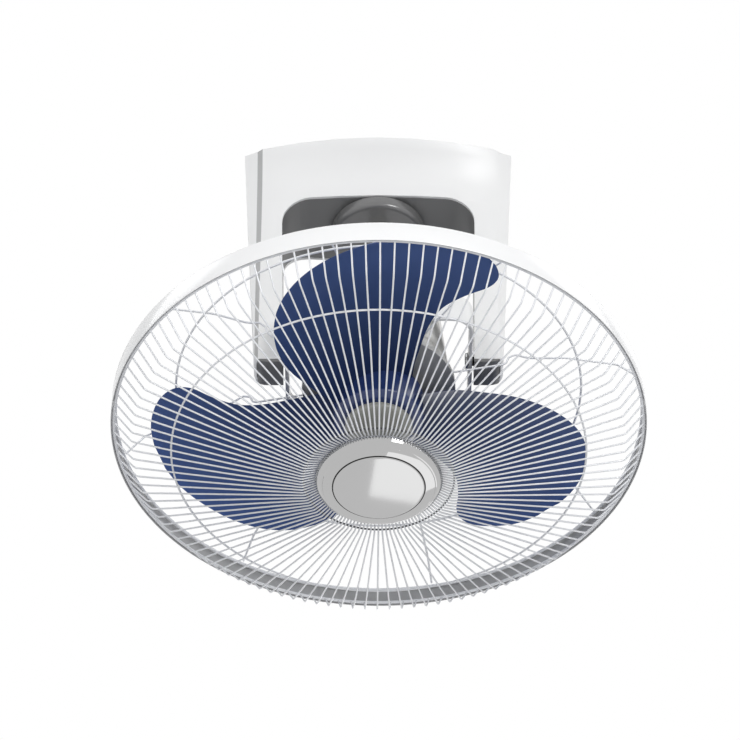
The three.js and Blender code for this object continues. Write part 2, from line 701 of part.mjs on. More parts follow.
function cableGrommet() {
  const low = STRAP_UNDER - GAP - 2;
  return turned([
    [4, low], [CABLE_HOLE_R + 3, low], [CABLE_HOLE_R + 3, low + 2], [CABLE_HOLE_R - GAP, low + 2],
    [CABLE_HOLE_R - GAP, -GAP], [4, -GAP],
  ]).translate([CABLE_HOLE_X, CABLE_HOLE_Y, 0]);
}

// ---------------------------------------------------------------- gimbal

function gimbalRing() {
  const low = PIVOT_Z - RING_HEIGHT / 2;
  const high = PIVOT_Z + RING_HEIGHT / 2;
  const shape = rectangle(RING_HALF_X, RING_HALF_Y, RING_CORNER);
  shape.holes.push(rectangle(RING_HALF_X - RING_WALL, RING_HALF_Y - RING_WALL, RING_CORNER - RING_WALL));
  const cut = side(outline([
    [-42, low - 5], [42, low - 5], [34, low + RING_ARCH, 6], [-34, low + RING_ARCH, 6],
  ]), -FAR, FAR);
  return slab(shape, low, high, 3).subtract(cut)
    .subtract(alongX(bore(PIN_R + GAP))).subtract(alongY(bore(BUSH_R + GAP)));
}

// A headed pin through the ring's side into the yoke's bush.
function yokePin(sign) {
  const inner = RING_HALF_X - RING_WALL - GAP;
  const pin = turned([
    [0, inner - PIN_HEAD], [PIN_HEAD_R - 1, inner - PIN_HEAD], [PIN_HEAD_R, inner - PIN_HEAD + 1],
    [PIN_HEAD_R, inner], [PIN_R, inner], [PIN_R, STRAP_HALF + 3], [PIN_R - 1, STRAP_HALF + 4], [0, STRAP_HALF + 4],
  ]);
  return alongX(pin, sign);
}

function ringBush(sign) {
  const out = RING_HALF_Y + GAP;
  const bush = turned([
    [PIN_R + RUN, RING_HALF_Y - RING_WALL], [BUSH_R, RING_HALF_Y - RING_WALL], [BUSH_R, out],
    [BUSH_R + 2, out], [BUSH_R + 2, out + RING_BUSH_FLANGE], [PIN_R + RUN, out + RING_BUSH_FLANGE],
  ]);
  return alongY(bush, sign);
}

// ---------------------------------------------------------------- motor

const motorRadius = (h) =>
  MOTOR_R_BASE - ((MOTOR_R_BASE - MOTOR_R_TOP) * (h - MOTOR_BASE_H)) / (MOTOR_TOP_H - MOTOR_BASE_H);

function motorFrontHousing() {
  const [z0, z1] = [above(MOTOR_BASE_H), above(MOTOR_JOINT_H)];
  const r1 = motorRadius(MOTOR_JOINT_H);
  const w = MOTOR_WALL;
  const seat = above(NECK_H) + 3;
  return turned([
    [SHAFT_R + 1.5, above(NECK_H)], [NECK_R, above(NECK_H)], [NECK_R, z0], [MOTOR_R_BASE - 3, z0],
    [MOTOR_R_BASE, z0 + 3], [r1, z1], [r1 - w, z1], [MOTOR_R_BASE - w - 2, z0 + w],
    [BEARING_R + 3, z0 + w], [BEARING_R + 3, seat + BEARING_WIDTH],
    [BEARING_R + GAP, seat + BEARING_WIDTH], [BEARING_R + GAP, seat], [SHAFT_R + 1.5, seat],
  ], 32);
}

// The deep rear cup with its two pin bosses and a ring of cooling slots in the top.
function motorRearHousing() {
  const [z0, z1] = [above(MOTOR_JOINT_H) + GAP, above(MOTOR_TOP_H)];
  const r0 = motorRadius(MOTOR_JOINT_H);
  const w = MOTOR_WALL;
  const cup = turned([
    [0, z1 - w], [BEARING_R + GAP, z1 - w], [BEARING_R + GAP, z1 - w - BEARING_WIDTH],
    [BEARING_R + 3, z1 - w - BEARING_WIDTH], [BEARING_R + 3, z1 - w], [MOTOR_R_TOP - 9, z1 - w],
    [MOTOR_R_TOP + 0.8 - w, z1 - 10], [r0 - w, z0],
    [r0, z0], [MOTOR_R_TOP + 0.8, z1 - 9], [MOTOR_R_TOP - 3, z1 - 3], [MOTOR_R_TOP - 9, z1], [0, z1],
  ], 32);
  const bosses = [-1, 1].map((s) => alongY(disc(PIN_HEAD_R + 1, BOSS_FACE - BOSS_DEPTH, BOSS_FACE), s));
  const slots = Array.from({ length: VENT_COUNT }, (_, i) =>
    slab(slot((STEM_FLANGE_R + MOTOR_R_TOP) / 2 - 3, 0, 2, 9), z1 - 4, z1 + 2, 2)
      .rotate([0, 0, ((i + 0.5) * 360) / VENT_COUNT]));
  return cup.add(joined(bosses)).subtract(alongY(bore(PIN_R + GAP))).subtract(joined(slots));
}

function statorCore() {
  const [z0, z1] = [above(STATOR_H), above(STATOR_H + STATOR_HEIGHT)];
  const core = collar(STATOR_BORE_R, STATOR_R, z0, z1, 24);
  const slots = Array.from({ length: 8 }, (_, i) =>
    box(STATOR_BORE_R - 2, STATOR_BORE_R + 11, -2, 2, z0 - 1, z1 + 1).rotate([0, 0, i * 45]));
  return core.subtract(joined(slots));
}

const winding = (h0) => turned([
  [STATOR_BORE_R + 2, above(h0)], [STATOR_R - 6, above(h0)], [STATOR_R - 4, above(h0) + 2],
  [STATOR_R - 4, above(h0) + WINDING_H - 2], [STATOR_R - 6, above(h0) + WINDING_H],
  [STATOR_BORE_R + 2, above(h0) + WINDING_H],
]);

const bearing = (z0) => collar(SHAFT_R + RUN, BEARING_R, z0, z0 + BEARING_WIDTH - GAP);

// A shoulder screw through the ring's bush into the housing's boss.
function motorPin(sign) {
  const seat = RING_HALF_Y + RING_BUSH_FLANGE + 2 * GAP;
  const pin = turned([
    [0, BOSS_FACE - BOSS_DEPTH + 2], [PIN_R, BOSS_FACE - BOSS_DEPTH + 2], [PIN_R, seat],
    [PIN_HEAD_R, seat], [PIN_HEAD_R, seat + PIN_HEAD - 1], [PIN_HEAD_R - 1, seat + PIN_HEAD], [0, seat + PIN_HEAD],
  ]);
  return alongY(pin, sign);
}

function driveStem() {
  const foot = above(MOTOR_TOP_H) + GAP;
  const top = STEM_TOP_Z - CUP_DEPTH - 3;
  return turned([
    [0, foot], [STEM_FLANGE_R, foot], [STEM_FLANGE_R, foot + 3], [STEM_R + 5, foot + 5],
    [STEM_R + 1, foot + 14], [STEM_R, top - GAP], [0, top - GAP],
  ]);
}

function stemCup() {
  const low = STEM_TOP_Z - CUP_DEPTH - 3;
  const top = STEM_TOP_Z;
  return turned([
    [0, low], [CUP_R - 2, low], [CUP_R, low + 2], [CUP_R, top - 1], [CUP_R - 1, top],
    [CRANK_PIN_R + 1.5, top], [CRANK_PIN_R + 0.5, top - 2], [CRANK_PIN_R - 1, top - CUP_DEPTH],
    [0, top - CUP_DEPTH],
  ]);
}

// ---------------------------------------------------------------- rotor

function rotorShaft() {
  const top = above(MOTOR_TOP_H) - MOTOR_WALL - GAP;
  const end = above(SPINNER_FRONT_H) + 5;
  const crossHole = bore(BLADE_PIN_R + GAP, 12).rotate([0, 90, 0]).translate([0, 0, above(BLADE_PIN_H)]);
  return turned([[0, end], [SHAFT_R - 1, end], [SHAFT_R, end + 1], [SHAFT_R, top], [0, top]]).subtract(crossHole);
}

const rotorCore = () =>
  collar(SHAFT_R + GAP, STATOR_BORE_R - 0.6, above(STATOR_H), above(STATOR_H + STATOR_HEIGHT), 24);

// Chord ends against radius: [radius, trailing angle, leading angle, trailing height, leading height].
// Angles are in degrees from the blade's own zero, heights are over the blades' foot. The trailing
// edge sweeps like a sickle and is the lower one.
const BLADE_STATIONS = [
  [33, -41, 82, 5.5, 23.5], [50, -34, 66, 4.5, 24.5], [72, -27.5, 58.5, 3, 25], [95, -21.5, 55, -1, 25],
  [118, -15.5, 55.2, -2.7, 25], [140, -8.5, 59.5, -2.9, 25], [158, -1.8, 63.6, -2.3, 25],
  [172, 5.2, 63.8, 0, 24], [183, 13, 61, 3.5, 23], [191, 21.5, 56.5, 7.5, 21.5],
  [196.5, 29.5, 51, 10.5, 19], [SWEEP_R, 37, 44.5, 13.5, 17],
];

// One section at constant radius, out along the rear face and back along the front face.
function bladeSection([r, trailing, leading, low, high]) {
  const point = (t, shift) => {
    const angle = turn(trailing + (leading - trailing) * t);
    const span = hypot(high - low, r * turn(leading - trailing));
    const bow = BLADE_CAMBER * 4 * t * (1 - t) * min(1, span / 100);
    return [r * cos(angle), r * sin(angle), above(BLADE_FOOT_H + low + (high - low) * t + bow + shift)];
  };
  const thick = BLADE_THICK * (1.35 - (0.6 * r) / SWEEP_R);
  const steps = Array.from({ length: CHORD_STEPS + 1 }, (_, i) => i / CHORD_STEPS);
  const rear = steps.map((t) => point(t, thick * (0.25 + 0.75 * sqrt(t * (1 - t)))));
  const front = steps.toReversed().map((t) => point(t, 0));
  return [...rear, ...front];
}

function bladeSet() {
  const hub = turned([
    [SHAFT_R + GAP, above(HUB_FRONT_H)], [HUB_R - 5, above(HUB_FRONT_H)], [HUB_R, above(HUB_FRONT_H + 6)],
    [HUB_R, above(HUB_REAR_H)], [HUB_R - 2.5, above(HUB_REAR_H)], [HUB_R - 2.5, above(HUB_FRONT_H + 7)],
    [HUB_R - 6, above(HUB_FRONT_H + 3)], [12, above(HUB_FRONT_H + 3)], [12, above(HUB_REAR_H - 4)],
    [SHAFT_R + GAP, above(HUB_REAR_H - 4)],
  ], 30);
  const blade = lofted(BLADE_STATIONS.map(bladeSection)).subtract(bore(HUB_R - 1.2, 30));
  const blades = Array.from({ length: BLADE_COUNT }, (_, i) =>
    blade.rotate([0, 0, BLADE_ANGLE + (i * 360) / BLADE_COUNT]));
  const room = BLADE_PIN_R + GAP;
  const pinSlot = box(-11, 11, -room, room, above(BLADE_PIN_H) - room, above(HUB_REAR_H));
  return joined([hub, ...blades]).subtract(pinSlot);
}

function spinner() {
  const front = above(SPINNER_FRONT_H);
  const rear = above(HUB_FRONT_H) - GAP;
  const rim = rear - 2;
  const rise = rim - front;
  const dome = [0, 0.35, 0.6, 0.8, 0.93, 1].map((s) => [SPINNER_R * s, front + rise * (1 - sqrt(1 - s * s))]);
  return turned([
    ...dome, [SPINNER_R, rear], [SPINNER_R - 2.5, rear], [SPINNER_R - 5, front + 6], [12, front + 3.5],
    [9, rear], [SHAFT_R + GAP, rear], [SHAFT_R + GAP, front + 4], [0, front + 4],
  ]);
}

const bladePin = () =>
  disc(BLADE_PIN_R, -10.5, 10.5, 12).rotate([0, 90, 0]).translate([0, 0, above(BLADE_PIN_H)]);

// ---------------------------------------------------------------- guard

// 120 bent wires between the rim ring and the ring under the cap.
function frontGuard() {
  const [outer, kink, inner, hub] = FRONT_BENDS;
  const facing = ([r0, h0], [r1, h1]) => atan2(h1 - h0, r1 - r0);
  const pitch = 360 / WIRE_COUNT;
  const one = wire(FRONT_BENDS, WIRE_SECTION, 3);
  return joined([
    hoop(RIM_RING_R, RIM_RING_H, RING_SECTION, WIRE_COUNT / 2, 4, facing(outer, kink)),
    hoop(HUB_RING_R, HUB_RING_H, RING_SECTION, WIRE_COUNT / 3, 4, facing(hub, inner)),
    ...Array.from({ length: WIRE_COUNT }, (_, i) => one.rotate([0, 0, WIRE_ANGLE + i * pitch])),
  ]);
}

// The pressed plate under the motor, whose collar carries the rear ribs.
function rearGuardPlate() {
  const z0 = above(MOTOR_BASE_H) - GAP - 1.5;
  const [out, top] = [MOTOR_R_BASE + 3.5, above(REAR_INNER_H) - RIB_R - GAP];
  return turned([
    [NECK_R + GAP, z0], [out, z0], [out, top], [out - 2, top], [out - 2, z0 + 1.5], [NECK_R + GAP, z0 + 1.5],
  ], 32);
}

function guardNut() {
  const [z0, z1] = [above(NECK_H) + 0.5, above(MOTOR_BASE_H) - GAP - 1.5 - GAP];
  const grip = slab(gearLike(18, NECK_R + 12, 1.2), z0, z1, 1);
  return grip.subtract(bore(NECK_R + GAP, 32));
}

// A round outline with shallow scallops for the fingers.
function gearLike(count, radius, depth) {
  const corners = [];
  for (let i = 0; i < count * 2; i++) {
    const a = (PI * i) / count;
    const r = i % 2 ? radius - depth : radius;
    corners.push([r * cos(a), r * sin(a)]);
  }
  return outline(corners);
}

// A ring welded behind the front wires, and one under the rear ribs.
function behindWires(r, segments) {
  return hoop(r, heightOn(FRONT_BENDS, r) + WIRE_SECTION + RIB_R + GAP, RIB_R, segments, 3);
}

const underRibs = () =>
  hoop(REAR_RING_R, heightOn(REAR_BENDS, REAR_RING_R) - 2 * RIB_R - GAP - 0.2, RIB_R, 60, 3);

// A rear rib: from the rim, out over the blades, down a step that clears the legs, in to the motor.
function rearRib(index) {
  return wire(REAR_BENDS, RIB_R, 6).rotate([0, 0, RIB_ANGLE + (index * 360) / RIB_COUNT]);
}

function guardBand() {
  const [z0, z1] = [above(0), above(BAND_HEIGHT)];
  return turned([
    [GUARD_R - BAND_WALL, z0], [GUARD_R - 0.4, z0], [GUARD_R, z0 + 0.6], [GUARD_R, z1 - 0.6],
    [GUARD_R - 0.4, z1], [GUARD_R - BAND_WALL, z1],
  ], 72);
}

// The round cap over the guard's middle: a raised disc, a groove and a stepped, rounded rim.
function guardCap() {
  const [face, rim] = [above(CAP_FACE_H), above(CAP_RIM_H)];
  const d = CAP_DISC_R;
  const skirt = HUB_RING_R - RING_SECTION - GAP;
  return turned([
    [0, face], [d - 1, face], [d, face + 0.8], [d, face + 1.8], [d + 1.4, face + 1.2],
    [CAP_R - 6, face + 2.6], [CAP_R - 1.5, rim - 2.5], [CAP_R, rim], [CAP_R - 2, rim],
    [CAP_R - 4, rim - 1.8], [skirt, face + 6], [skirt, rim + 5], [skirt - 1.5, rim + 5],
    [skirt - 1.5, face + 5], [d - 1, face + 2.2], [0, face + 2.2],
  ], 36);
}

// ---------------------------------------------------------------- assembly

piece(yoke, 'ceiling_plate', ZINC, ceilingPlate());
piece(yoke, 'yoke_frame', ZINC, yokeFrame());
const shell = covers();
piece(yoke, 'front_cover', WHITE_SHELL, shell.intersect(frontHalf()));
piece(yoke, 'rear_cover', WHITE_SHELL, shell.intersect(rearHalf()));
piece(yoke, 'arch_liner', DARK_LINER, archLiner());
piece(yoke, 'leg_cap_left', DARK_LINER, legCap(-1));
piece(yoke, 'leg_cap_right', DARK_LINER, legCap(1));
piece(yoke, 'yoke_bush_left', BRONZE, yokeBush(-1));
piece(yoke, 'yoke_bush_right', BRONZE, yokeBush(1));
piece(yoke, 'drive_bracket', ZINC, driveBracket());
piece(yoke, 'orbit_gearmotor', GREY_METAL, orbitGearmotor());
piece(yoke, 'crank_bush', BRONZE, crankBush());
piece(yoke, 'terminal_block', NYLON, terminalBlock());
piece(yoke, 'motor_capacitor', BLACK, motorCapacitor());
piece(yoke, 'cable_grommet', BLACK, cableGrommet());

piece(crank, 'crank_disc', DARK_LINER, crankDisc());
piece(crank, 'crank_gear', NYLON, crankGear());
piece(crank, 'crank_pin', STEEL, crankPin());
piece(crank, 'crank_clip', STEEL, crankClip());
piece(yoke, 'drive_pinion', NYLON, drivePinion());

piece(gimbal, 'gimbal_ring', WHITE_SHELL, gimbalRing());
piece(gimbal, 'yoke_pin_left', STEEL, yokePin(-1));
piece(gimbal, 'yoke_pin_right', STEEL, yokePin(1));
piece(gimbal, 'ring_bush_front', BRONZE, ringBush(-1));
piece(gimbal, 'ring_bush_rear', BRONZE, ringBush(1));

piece(head, 'motor_front_housing', GREY_METAL, motorFrontHousing());
piece(head, 'motor_rear_housing', GREY_METAL, motorRearHousing());
piece(head, 'motor_pin_front', STEEL, motorPin(-1));
piece(head, 'motor_pin_rear', STEEL, motorPin(1));
piece(head, 'stator_core', LAMINATION, statorCore());
piece(head, 'stator_winding_front', COPPER, winding(STATOR_H - WINDING_H - GAP));
piece(head, 'stator_winding_rear', COPPER, winding(STATOR_H + STATOR_HEIGHT + GAP));
piece(head, 'bearing_front', STEEL, bearing(above(NECK_H) + 3 + GAP));
piece(head, 'bearing_rear', STEEL, bearing(above(MOTOR_TOP_H) - MOTOR_WALL - BEARING_WIDTH));
piece(head, 'drive_stem', GREY_METAL, driveStem());
piece(head, 'stem_cup', NYLON, stemCup());
piece(head, 'rear_guard_plate', WHITE_WIRE, rearGuardPlate());
piece(head, 'guard_nut', NYLON, guardNut());
for (let i = 0; i < RIB_COUNT; i++) piece(head, `rear_rib_${i + 1}`, WHITE_WIRE, rearRib(i));
piece(head, 'rear_guard_ring', WHITE_WIRE, underRibs());
piece(head, 'rear_rim_ring', WHITE_WIRE, hoop(RIM_RING_R, REAR_RIM_H, REAR_RIM_WIRE_R, 60, 3));
piece(head, 'guard_band', WHITE_SHELL, guardBand());
piece(head, 'front_guard', WHITE_WIRE, frontGuard());
piece(head, 'front_guard_ring', WHITE_WIRE, behindWires(FRONT_RING_R, 60));
piece(head, 'front_guard_inner_ring', WHITE_WIRE, behindWires(FRONT_INNER_R + 1, 40));
piece(head, 'guard_cap', SILVER_CAP, guardCap());

piece(rotor, 'rotor_shaft', STEEL, rotorShaft());
piece(rotor, 'rotor_core', LAMINATION, rotorCore());
piece(rotor, 'blade_set', BLUE_BLADE, bladeSet());
piece(rotor, 'blade_pin', STEEL, bladePin());
piece(rotor, 'spinner', OLIVE_GREY, spinner());

export default fan;
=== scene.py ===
"""Orbital ceiling fan, seen from the room below.

The fan, the camera and the panel in the cap's mirror are in millimetres. The surfaces' own sizes, the room
and its other lamps are in metres. Heights named H are over the guard's front rim. Those named Z are over the
ceiling, so they are negative.
"""

import json
import math

import bmesh
import bpy
import numpy as np
from mathutils import Matrix, Vector

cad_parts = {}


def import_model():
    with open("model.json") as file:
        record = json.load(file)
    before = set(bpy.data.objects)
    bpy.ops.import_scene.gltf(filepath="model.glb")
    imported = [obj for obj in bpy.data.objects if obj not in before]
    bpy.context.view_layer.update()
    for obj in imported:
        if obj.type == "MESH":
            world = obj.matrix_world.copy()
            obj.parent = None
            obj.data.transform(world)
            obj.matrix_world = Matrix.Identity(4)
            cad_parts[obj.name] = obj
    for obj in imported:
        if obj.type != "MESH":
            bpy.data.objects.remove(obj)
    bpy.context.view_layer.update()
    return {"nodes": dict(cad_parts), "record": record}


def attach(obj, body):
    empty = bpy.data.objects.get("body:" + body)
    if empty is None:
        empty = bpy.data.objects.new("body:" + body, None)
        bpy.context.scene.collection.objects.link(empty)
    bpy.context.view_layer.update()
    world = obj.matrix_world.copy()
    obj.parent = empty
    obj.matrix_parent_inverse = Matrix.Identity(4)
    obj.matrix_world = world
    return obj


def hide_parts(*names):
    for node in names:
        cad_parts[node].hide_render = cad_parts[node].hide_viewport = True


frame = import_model()
scene = bpy.context.scene

MM = 0.001
RIM_Z = -296.0          # the guard's front rim


# ---------------------------------------------------------------- curves in a plane

BEND_SHARE = 0.45       # the most of a straight side that one bend takes up


def filleted(points, radii, steps):
    """Rounds the bends of an open polyline of (a, b) points, each bend with its own radius."""
    out = [points[0]]
    for k in range(1, len(points) - 1):
        p, q, s = (np.array(points[i], float) for i in (k - 1, k, k + 1))
        before, after = np.linalg.norm(p - q), np.linalg.norm(s - q)
        u, v = (p - q) / before, (s - q) / after
        half = math.acos(max(-1, min(1, float(u @ v)))) / 2
        run = min(radii[k - 1] / math.tan(half), BEND_SHARE * before, BEND_SHARE * after)
        r = run * math.tan(half)
        centre = q + (u + v) / np.linalg.norm(u + v) * r / math.sin(half)
        a, b = q + u * run - centre, q + v * run - centre
        t0, t1 = math.atan2(a[1], a[0]), math.atan2(b[1], b[0])
        dt = (t1 - t0 + math.pi) % (2 * math.pi) - math.pi
        for i in range(steps + 1):
            t = t0 + dt * i / steps
            out.append((centre[0] + r * math.cos(t), centre[1] + r * math.sin(t)))
    out.append(points[-1])
    return out


def smooth_rows(rows, count):
    """Catmull-Rom rows through rows of numbers, spaced evenly by row index."""
    rows = np.array(rows, float)
    out = []
    for s in np.linspace(0, len(rows) - 1, count):
        i = min(int(s), len(rows) - 2)
        t = s - i
        a, b = rows[max(i - 1, 0)], rows[i]
        c, d = rows[i + 1], rows[min(i + 2, len(rows) - 1)]
        out.append(0.5 * (2 * b + (c - a) * t + (2 * a - 5 * b + 4 * c - d) * t * t
                          + (3 * b - a - 3 * c + d) * t ** 3))
    return np.array(out)


# ---------------------------------------------------------------- meshes

ON_AXIS = 1e-6          # a profile's smaller radii count as a point on the axis
RING_SIDES = 12         # corners of a ring's round section


def outward(name, verts, faces, material, sharp):
    """A smooth mesh object with its faces turned outwards. Edges over the sharp angle stay crisp."""
    mesh = bpy.data.meshes.new(name)
    mesh.from_pydata([tuple(v) for v in verts], [], [tuple(f) for f in faces])
    mesh.validate()
    mesh.polygons.foreach_set("use_smooth", [True] * len(mesh.polygons))
    mesh.set_sharp_from_angle(angle=math.radians(sharp))
    mesh.materials.append(material)
    obj = bpy.data.objects.new(name, mesh)
    scene.collection.objects.link(obj)
    bm = bmesh.new()
    bm.from_mesh(mesh)
    bmesh.ops.recalc_face_normals(bm, faces=bm.faces)
    bm.to_mesh(mesh)
    bm.free()
    return obj


def grid_faces(rows, columns):
    """Quads between rows of points. The last column joins the first, and the rows stay open."""
    faces = []
    for i in range(rows - 1):
        for j in range(columns):
            m = (j + 1) % columns
            faces.append((i * columns + j, i * columns + m, (i + 1) * columns + m, (i + 1) * columns + j))
    return faces


def turned(profile, segments):
    """A profile of (radius, z) turned about Z. It is closed, or starts and ends on the axis."""
    verts, faces, rows = [], [], []
    for r, z in profile:
        if r < ON_AXIS:
            rows.append([len(verts)] * segments)
            verts.append((0, 0, z))
            continue
        rows.append(list(range(len(verts), len(verts) + segments)))
        for j in range(segments):
            a = 2 * math.pi * j / segments
            verts.append((r * math.cos(a), r * math.sin(a), z))
    closed = profile[0][0] > ON_AXIS
    for i in range(len(rows) if closed else len(rows) - 1):
        a, b = rows[i], rows[(i + 1) % len(rows)]
        for j in range(segments):
            k = (j + 1) % segments
            face = []
            for v in (a[j], a[k], b[k], b[j]):
                if v not in face:
                    face.append(v)
            if len(face) > 2:
                faces.append(face)
    return [(x * MM, y * MM, z * MM) for x, y, z in verts], faces


def lathe(name, profile, material, segments, sharp):
    """A turned object in the head, from a profile of (radius, height over the rim)."""
    verts, faces = turned([(r, RIM_Z + h) for r, h in profile], segments)
    return outward(name, verts, faces, material, sharp)


def ring(r, h, wire, segments):
    """A ring of round wire in the head."""
    angles = [2 * math.pi * i / RING_SIDES for i in range(RING_SIDES)]
    profile = [(r + wire * math.cos(a), RIM_Z + h + wire * math.sin(a)) for a in angles]
    return turned(profile, segments)


def planar_wire(path, wire, angle, sides):
    """A round wire along (radius, height over the rim) points, at one angle about the axis.

    Its ends are closed.
    """
    verts = []
    ca, sa = math.cos(angle), math.sin(angle)
    for k, (r, h) in enumerate(path):
        p, q = path[max(k - 1, 0)], path[min(k + 1, len(path) - 1)]
        t = np.array([q[0] - p[0], q[1] - p[1]], float)
        t /= np.linalg.norm(t)
        for i in range(sides):
            a = 2 * math.pi * i / sides
            rr = r - t[1] * wire * math.cos(a)
            hh = h + t[0] * wire * math.cos(a)
            w = wire * math.sin(a)
            verts.append(((rr * ca - w * sa) * MM, (rr * sa + w * ca) * MM, (RIM_Z + hh) * MM))
    faces = grid_faces(len(path), sides)
    faces.append(tuple(range(sides)))
    faces.append(tuple(reversed(range((len(path) - 1) * sides, len(path) * sides))))
    return verts, faces


def merged(parts):
    """Several (verts, faces) pairs as one."""
    verts, faces = [], []
    for v, f in parts:
        n = len(verts)
        verts.extend(v)
        faces.extend([tuple(i + n for i in face) for face in f])
    return verts, faces


# ---------------------------------------------------------------- materials

COAT_ROUGH = 0.12
LEAST_ROUGH = 0.02
DRIFT_SCALE, DRIFT_DETAIL = 14, 3       # the slow noise behind the drifts of colour and roughness
GRAIN_DETAIL, GRAIN_DEPTH = 4, 0.0004

# the blades' blue, with painted shade near the hub and painted light towards the tips
BLADE_HUB_SHADE_COLOUR, BLADE_TIP_LIT_COLOUR = (0.018, 0.034, 0.106), (0.07, 0.122, 0.315)
BLADE_HUB_AT, BLADE_TIP_AT = 0.04, 0.2  # the radii where the blades reach those colours

STRIPE_STRENGTH, STRIPE_DEPTH = 0.3, 0.0003
WAVE_FACTOR = 20                        # what Blender's wave texture multiplies its scale by


def material(name, colour, rough, metal=0.0, grain=600.0, bump=0.02, shift=0.04, rough_shift=0.06,
             coat=0.0, stretch=(1, 1, 1), specular=0.5):
    """Principled surface with a fine grain, a slow drift of colour and a slow drift of roughness."""
    m = bpy.data.materials.new(name)
    m.use_nodes = True
    nodes, links = m.node_tree.nodes, m.node_tree.links
    shader = nodes["Principled BSDF"]
    shader.inputs["Metallic"].default_value = metal
    shader.inputs["Coat Weight"].default_value = coat
    shader.inputs["Coat Roughness"].default_value = COAT_ROUGH
    shader.inputs["Specular IOR Level"].default_value = specular
    where = nodes.new("ShaderNodeTexCoord")
    spread = nodes.new("ShaderNodeMapping")
    spread.inputs["Scale"].default_value = stretch
    links.new(where.outputs["Object"], spread.inputs["Vector"])
    slow = nodes.new("ShaderNodeTexNoise")
    slow.inputs["Scale"].default_value = DRIFT_SCALE
    slow.inputs["Detail"].default_value = DRIFT_DETAIL
    links.new(spread.outputs["Vector"], slow.inputs["Vector"])
    tint = nodes.new("ShaderNodeMapRange")
    tint.inputs["To Min"].default_value = 1 - shift
    tint.inputs["To Max"].default_value = 1 + shift
    links.new(slow.outputs["Fac"], tint.inputs["Value"])
    base = nodes.new("ShaderNodeRGB")
    base.outputs[0].default_value = (*colour, 1)
    scaled = nodes.new("ShaderNodeVectorMath")
    scaled.operation = "SCALE"
    links.new(base.outputs[0], scaled.inputs[0])
    links.new(tint.outputs["Result"], scaled.inputs["Scale"])
    links.new(scaled.outputs["Vector"], shader.inputs["Base Color"])
    roughness = nodes.new("ShaderNodeMapRange")
    roughness.inputs["To Min"].default_value = max(LEAST_ROUGH, rough - rough_shift)
    roughness.inputs["To Max"].default_value = rough + rough_shift
    links.new(slow.outputs["Fac"], roughness.inputs["Value"])
    links.new(roughness.outputs["Result"], shader.inputs["Roughness"])
    fine = nodes.new("ShaderNodeTexNoise")
    fine.inputs["Scale"].default_value = grain
    fine.inputs["Detail"].default_value = GRAIN_DETAIL
    links.new(spread.outputs["Vector"], fine.inputs["Vector"])
    relief = nodes.new("ShaderNodeBump")
    relief.inputs["Strength"].default_value = bump
    relief.inputs["Distance"].default_value = GRAIN_DEPTH
    links.new(fine.outputs["Fac"], relief.inputs["Height"])
    links.new(relief.outputs["Normal"], shader.inputs["Normal"])
    return m


def blade_material():
    """Blue plastic, with painted shade that deepens it towards the hub and painted light that makes it paler
    towards the tips.
    """
    m = material("blue_blade", BLADE_TIP_LIT_COLOUR, 0.3, grain=300, bump=0.01, shift=0.03, specular=0.08)
    nodes, links = m.node_tree.nodes, m.node_tree.links
    where = nodes.new("ShaderNodeTexCoord")
    flat = nodes.new("ShaderNodeVectorMath")
    flat.operation = "MULTIPLY"
    flat.inputs[1].default_value = (1, 1, 0)
    links.new(where.outputs["Object"], flat.inputs[0])
    radius = nodes.new("ShaderNodeVectorMath")
    radius.operation = "LENGTH"
    links.new(flat.outputs["Vector"], radius.inputs[0])
    ramp = nodes.new("ShaderNodeValToRGB")
    shaded_end, lit_end = ramp.color_ramp.elements
    shaded_end.position = BLADE_HUB_AT
    shaded_end.color = (*BLADE_HUB_SHADE_COLOUR, 1)
    lit_end.position = BLADE_TIP_AT
    lit_end.color = (*BLADE_TIP_LIT_COLOUR, 1)
    links.new(radius.outputs["Value"], ramp.inputs["Fac"])
    scaled = next(n for n in nodes if n.type == "VECT_MATH" and n.operation == "SCALE")
    links.new(ramp.outputs["Color"], scaled.inputs[0])
    return m


def striped(name, colour, rough, step):
    """Stacked sheet or wound wire: metal with bands across Z, 2 pi times the step from one to the next."""
    m = material(name, colour, rough, metal=1.0)
    nodes, links = m.node_tree.nodes, m.node_tree.links
    where = nodes.new("ShaderNodeTexCoord")
    bands = nodes.new("ShaderNodeTexWave")
    bands.bands_direction = "Z"
    bands.inputs["Scale"].default_value = 1 / (step * WAVE_FACTOR)
    links.new(where.outputs["Object"], bands.inputs["Vector"])
    relief = nodes.new("ShaderNodeBump")
    relief.inputs["Strength"].default_value = STRIPE_STRENGTH
    relief.inputs["Distance"].default_value = STRIPE_DEPTH
    links.new(bands.outputs["Fac"], relief.inputs["Height"])
    links.new(relief.outputs["Normal"], nodes["Principled BSDF"].inputs["Normal"])
    return m


